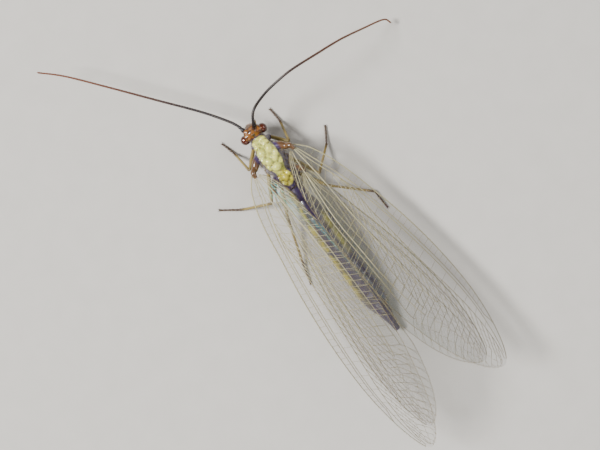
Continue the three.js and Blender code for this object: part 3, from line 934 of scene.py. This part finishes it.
def membraneMesh(pose, shape):
    columns, rows, half = filmShape["columns"], filmShape["rows"], filmShape["half"]
    last = 1 - 1e-4
    faces, vertices = [], []
    for side in (1, -1):
        for i in range(rows + 1):
            t = last * (1 - (1 - i / rows) ** 1.5)
            for j in range(columns + 1):
                across = j / columns
                wave = math.sin(across * filmShape["crimpWaves"] + 3 * t)
                crimp = filmShape["crimp"] * wave * smooth(t / 0.1) * smooth((1 - t) / 0.1)
                vertices.append(wingPoint(pose, shape, t, across, crimp + side * half))
    wide = columns + 1
    count = (rows + 1) * wide
    for i in range(rows):
        for j in range(columns):
            a = i * wide + j
            faces.append((a, a + wide, a + wide + 1, a + 1))
            faces.append((count + a, count + a + 1, count + a + wide + 1, count + a + wide))
        a, b = i * wide, i * wide + columns
        faces.append((a, count + a, count + a + wide, a + wide))
        faces.append((b, b + wide, count + b + wide, count + b))
    end = rows * wide
    for j in range(columns):
        faces.append((j, j + 1, count + j + 1, count + j))
        faces.append((end + j, count + end + j, count + end + j + 1, end + j + 1))
    if pose["side"] < 0:
        faces = [tuple(reversed(face)) for face in faces]
    return vertices, faces


# Veins as routes over the wing, in fractions of its length and of the way from front to hind margin;
# the sizes are radii

veinSizes = {"costa": 0.029, "main": 0.021, "branch": 0.015, "cross": 0.009, "margin": 0.012}
network = {
    "fore": {"costals": 34, "sectors": 26, "stem": 0.13, "bases": 9, "rungs": 25, "plainUntil": 0.45},
    "hind": {"costals": 24, "sectors": 18, "stem": 0.12, "bases": 6, "rungs": 9, "plainUntil": 0.5},
}


def frontRim(t):
    return 0


def hindRim(t):
    return 1


def subcosta(t):
    return mix(0.3, 0.14, smooth(t / 0.3)) * mix(1, 0.6, smooth((t - 0.3) / 0.6))


def radius(t):
    return subcosta(t) + mix(0.1, 0.04, smooth(t / 0.4))


def sector(t):
    return mix(radius(t), mix(0.31, 0.2, smooth((t - 0.5) / 0.5)), smooth((t - 0.12) / 0.25))


def innerLine(t):
    return mix(0.48, 0.56, smooth(t / 0.3)) - 0.1 * smooth((t - 0.66) / 0.3)


def outerLine(t):
    return mix(0.68, 0.8, smooth(t / 0.3)) - 0.14 * smooth((t - 0.66) / 0.3)


def line(function, start, end, steps=60):
    return [(mix(start, end, i / steps), function(mix(start, end, i / steps))) for i in range(steps + 1)]


def straight(a, b, sag=0, steps=6):
    points = []
    for i in range(steps + 1):
        u = i / steps
        points.append((mix(a[0], b[0], u) + sag * math.sin(math.pi * u), mix(a[1], b[1], u)))
    return points


def rung(first, second, t, slant):
    return "cross", straight((t, first(t)), (t + slant, second(t + slant)))


def fork(start, spread):
    lean = 0.75 * (1 - start[0]) ** 0.8 * (1 - start[1])
    split = (min(start[0] + lean * 0.4, 0.99), mix(start[1], 1, 0.45))
    ends = [(min(split[0] + lean * 0.5 + k * spread, 0.996), 1) for k in (0, 1)]
    return [straight(start, split)] + [straight(split, end) for end in ends]


def veinRoutes(numbers):
    routes = [("costa", line(frontRim, 0, 0.99, 120)), ("margin", line(hindRim, 0.02, 0.99, 120)),
              ("main", line(subcosta, 0.01, 0.84)), ("main", line(radius, 0.01, 0.97)),
              ("main", line(sector, numbers["stem"], 0.985)), ("main", line(innerLine, 0.02, 0.7)),
              ("main", line(outerLine, 0.02, 0.7)), ("main", straight((0.84, subcosta(0.84)), (0.88, 0)))]
    for k in range(3):  # short slanting veins at the root, behind the outer line
        routes.append(("branch", straight((0.015, 0.76 + 0.07 * k), (0.17 - 0.045 * k, 1), -0.01)))
    for k in range(numbers["costals"]):  # the ladder behind the costa
        t = 0.04 + 0.8 * k / numbers["costals"]
        routes.append(rung(frontRim, subcosta, t, 0.006))
    radials = 14
    for k in range(radials):  # between the radius and its sector
        routes.append(rung(radius, sector, 0.19 + 0.72 * k / radials, 0.01))
    for k in range(numbers["bases"]):  # cells behind the stem of the sector
        t = 0.05 + (numbers["stem"] + 0.13) * k / numbers["bases"]
        routes += [rung(sector, innerLine, t, 0.03), rung(innerLine, outerLine, t, 0.015)]
    for k in range(numbers["rungs"]):  # the even ladder along the hind margin
        t = 0.05 + (numbers["plainUntil"] + 0.08) * k / numbers["rungs"]
        routes.append(rung(outerLine, hindRim, t, 0.02))
    ways = []
    for k in range(numbers["sectors"]):  # slanting branches, forked at the rim past the plain ladder
        start = numbers["stem"] + 0.03 + (0.94 - numbers["stem"]) * k / numbers["sectors"]
        lean = 0.23 * (1 - start) ** 0.5 * mix(0.75, 1, smooth((start - 0.2) / 0.3))
        first = (min(start + lean, 0.985), innerLine(start + lean))
        second = (min(first[0] + 0.018, 0.99), outerLine(first[0] + 0.018))
        way = straight((start, sector(start)), first, 0.006, 10) + straight(first, second)[1:]
        ways.append(way)
        routes.append(("branch", way))
        if start > numbers["plainUntil"]:
            routes += [("cross", way) for way in fork(second, 0.009 + 0.006 * (1 - start))]
    for k in range(numbers["sectors"] - 1):  # stepped rows of cross veins between the branches
        for spot in (4, 7, 10, 16) if ways[k][10][0] > 0.68 else (4, 7):
            routes.append(("cross", straight(ways[k][spot], ways[k + 1][spot - 1], 0, 3)))
    return routes


def addWing(name, pose, shape, isFore):
    body = "forewing_" if isFore else "hindwing_"
    film = makeObject(body + name + "_film", *membraneMesh(pose, shape), membrane)
    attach(film, "root")
    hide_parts(body + name)
    meshes, weights, setae = [], [], []
    for kind, route in veinRoutes(network["fore" if isFore else "hind"]):
        size = veinSizes[kind]
        path = [wingPoint(pose, shape, t, a) for t, a in route]
        taper = [1 - 0.45 * smooth((t - 0.3) / 0.7) for t, _ in route]
        sides = 8 if kind in ("costa", "main") else 6
        meshes.append(tube(path, [size * k for k in taper], sides))
        dark = 0.9 if kind == "margin" else 0.05
        weights += [mix(dark, 0.75, smooth((t - 0.1) / 0.8)) for t, _ in route for _ in range(sides)]
        for i in range(len(path) - 1):
            setae.append((path[i], path[i + 1], route[i], kind))
    veins = makeObject(body + name + "_veins", *joinMeshes(meshes), veinHorn)
    paintAlong(veins, weights)
    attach(veins, "root")
    return setae


wingHairs = {}
for name, pose in fold.items():
    wingHairs["forewing_" + name] = (pose, foreWing, addWing(name, pose, foreWing, True))
    wingHairs["hindwing_" + name] = (pose, hindWing, addWing(name, pose, hindWing, False))
print("wings made")

# Hair, as fine three-sided spikes sunk into what they grow from

hairSizes = {  # length and radius at the root
    "wing": (0.075, 0.006), "fringe": (0.1, 0.006), "body": (0.13, 0.007), "leg": (0.075, 0.005),
    "feeler": (0.05, 0.004),
}
hairSpacing = {"costa": 0.06, "margin": 0.06, "main": 0.09, "branch": 0.09, "cross": 0.14}  # along each vein
bodyHairs = 2600


def inset(share):
    return 0.02 + 0.95 * share  # places on the UV map keep clear of its rim


class HairPiece:
    def __init__(self):
        self.vertices, self.faces, self.patches = [], [], []

    def grow(self, root, direction, bendTo, length, width, u, v):
        side = direction.orthogonal().normalized()
        other = direction.cross(side).normalized()
        start = len(self.vertices)
        middle = root + direction * length * 0.55
        tip = middle + (direction * 0.6 + bendTo * 0.8).normalized() * length * 0.45
        for centre, radiusHere in ((root - direction * width, width), (middle, width * 0.7)):
            for k in range(3):
                angle = 2 * math.pi * k / 3
                spot = centre + side * radiusHere * math.cos(angle)
                self.vertices.append(spot + other * radiusHere * math.sin(angle))
        self.vertices.append(tip)
        a = start
        self.faces += [(a, a + 1, a + 4, a + 3), (a + 1, a + 2, a + 5, a + 4), (a + 2, a, a + 3, a + 5),
                       (a + 3, a + 4, a + 6), (a + 4, a + 5, a + 6), (a + 5, a + 3, a + 6), (a + 2, a + 1, a)]
        corners = [(0, 0), (1, 0), (0.5, 0.8), (0, 0.5), (1, 0.5), (0.5, 1), (0.5, 0.6)]
        self.patches += [(u + 0.003 * x, v + 0.003 * y) for x, y in corners]

    def finish(self, name):
        piece = makeObject(name, self.vertices, self.faces, hairHorn)
        paintAlong(piece, [0.3] * len(self.vertices))
        layer = piece.data.uv_layers.new(name="OFBake")
        for loop in piece.data.loops:
            layer.data[loop.index].uv = self.patches[loop.vertex_index]
        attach(piece, "root")


def addWingHair():
    rng = random.Random(11)
    for name, (pose, shape, stretches) in wingHairs.items():
        hair = HairPiece()
        for a, b, (t, across), kind in stretches:
            onRim = kind in ("costa", "margin")
            length, width = hairSizes["fringe" if onRim else "wing"]
            count = (b - a).length / hairSpacing[kind]
            whole = int(count) + (rng.random() < count % 1)
            _, out, normal = roofAt(pose, (shape["start"] + shape["length"] * t) * pose["stretch"])
            along = (b - a).normalized()
            for _ in range(whole):
                root = a.lerp(b, rng.random())
                direction = normal * 0.8 + along * 0.5
                if onRim:
                    direction = (out if across == 0 else -out) + along * 0.7 + normal * rng.uniform(-0.3, 0.5)
                if across == 1 and abs(root.x - ridgeX(root.y)) < 0.1:
                    direction = normal + along * 0.8
                direction += vec(rng.uniform(-0.2, 0.2), rng.uniform(-0.2, 0.2), rng.uniform(-0.2, 0.2))
                hair.grow(root, direction.normalized(), along, length * rng.uniform(0.7, 1.2), width,
                          inset(t), inset(across))
        hair.finish(name + "_hair")


def addLimbHair(name, surface, slotName, every):
    rng = random.Random(23)
    hair = HairPiece()
    length, width = hairSizes[slotName]
    low = min(p.y for p, _, _ in surface)
    high = max(p.y for p, _, _ in surface)
    for root, normal, along in surface[::every]:
        if rng.random() < 0.35 or root.z < 0.02:
            continue
        direction = normal + along * rng.uniform(0.6, 1.2)
        if direction.z < 0 and root.z < 0.15:
            direction.z = 0.05
        turn = math.atan2(normal.z, normal.x) / (2 * math.pi) + 0.5
        hair.grow(root, direction.normalized(), along, length * rng.uniform(0.7, 1.2), width,
                  inset((root.y - low) / (high - low)), inset(turn))
    hair.finish(name)


def addBodyHair():
    rng = random.Random(5)
    hair = HairPiece()
    length, width = hairSizes["body"]
    low = min(p.y for p, _ in bodySurface)
    high = max(p.y for p, _ in bodySurface)
    for root, normal in rng.sample(bodySurface, bodyHairs):
        if root.z < 0.2 and normal.z < 0.2:
            continue
        back = vec(0, 1, 0) if root.y > -0.9 else vec(0, -0.6, 0.4)
        direction = (normal + back * rng.uniform(0.5, 1.1)).normalized()
        scale = 0.6 if root.y < -1.3 else (1.1 if root.y < 1.6 else 0.8)
        turn = math.atan2(normal.z, normal.x) / (2 * math.pi) + 0.5
        hair.grow(root, direction, back, length * scale * rng.uniform(0.6, 1.2), width,
                  inset((root.y - low) / (high - low)), inset(turn))
    hair.finish("body_hair")


addWingHair()
addBodyHair()
addLimbHair("leg_hair", legSurface, "leg", 5)
addLimbHair("feeler_hair", feelerSurface, "feeler", 5)
print("hair grown")

# Floor and soft studio light

studio = {
    "floor": "c4c0b9",
    "floorShade": "bbb7b0",
    "floorGrain": 1.1111,  # mm
    "floorHalf": 900,  # mm from the middle to each edge
    "world": 0.2,
    "aim": vec(0, 4, 1),
    "lights": [  # place in mm from the thorax, side in mm, watts
        (vec(150, -110, 240), 80, 1.9),
        (vec(-190, 40, 200), 180, 0.3),
        (vec(60, 220, 160), 160, 0.25),
    ],
}


def addStudio():
    material, tree = newMaterial("paleFloor")  # a matt painted board
    place = addNode(tree, "ShaderNodeNewGeometry").outputs["Position"]
    grain = addNode(tree, "ShaderNodeTexNoise", {"Scale": perMetre(studio["floorGrain"]), "Detail": 5},
                    {"Vector": place})
    paint, shade = hexColour(studio["floor"]), hexColour(studio["floorShade"])
    colour = mixColours(tree, grain.outputs["Fac"], paint, shade)
    shader = addNode(tree, "ShaderNodeBsdfPrincipled", {"Roughness": 0.85}, {"Base Color": colour})
    finishMaterial(tree, shader)
    edge = studio["floorHalf"]
    corners = [vec(x, y, 0) for x, y in ((-edge, -edge), (edge, -edge), (edge, edge), (-edge, edge))]
    floor = makeObject("floor", corners, [(0, 1, 2, 3)], material, False)
    world = bpy.data.worlds.new("studio")
    world.use_nodes = True
    background = world.node_tree.nodes["Background"]
    background.inputs["Color"].default_value = (1, 1, 1, 1)
    background.inputs["Strength"].default_value = studio["world"]
    bpy.context.scene.world = world
    for k, (place, size, power) in enumerate(studio["lights"]):
        data = bpy.data.lights.new("softbox" + str(k), "AREA")
        data.size = size * mm
        data.energy = power
        light = bpy.data.objects.new("softbox" + str(k), data)
        light.location = (place + shift) * mm
        aim = (studio["aim"] - place).normalized()
        light.rotation_euler = aim.to_track_quat("-Z", "Y").to_euler()
        bpy.context.scene.collection.objects.link(light)


addStudio()
bpy.context.view_layer.update()
print("scene done")
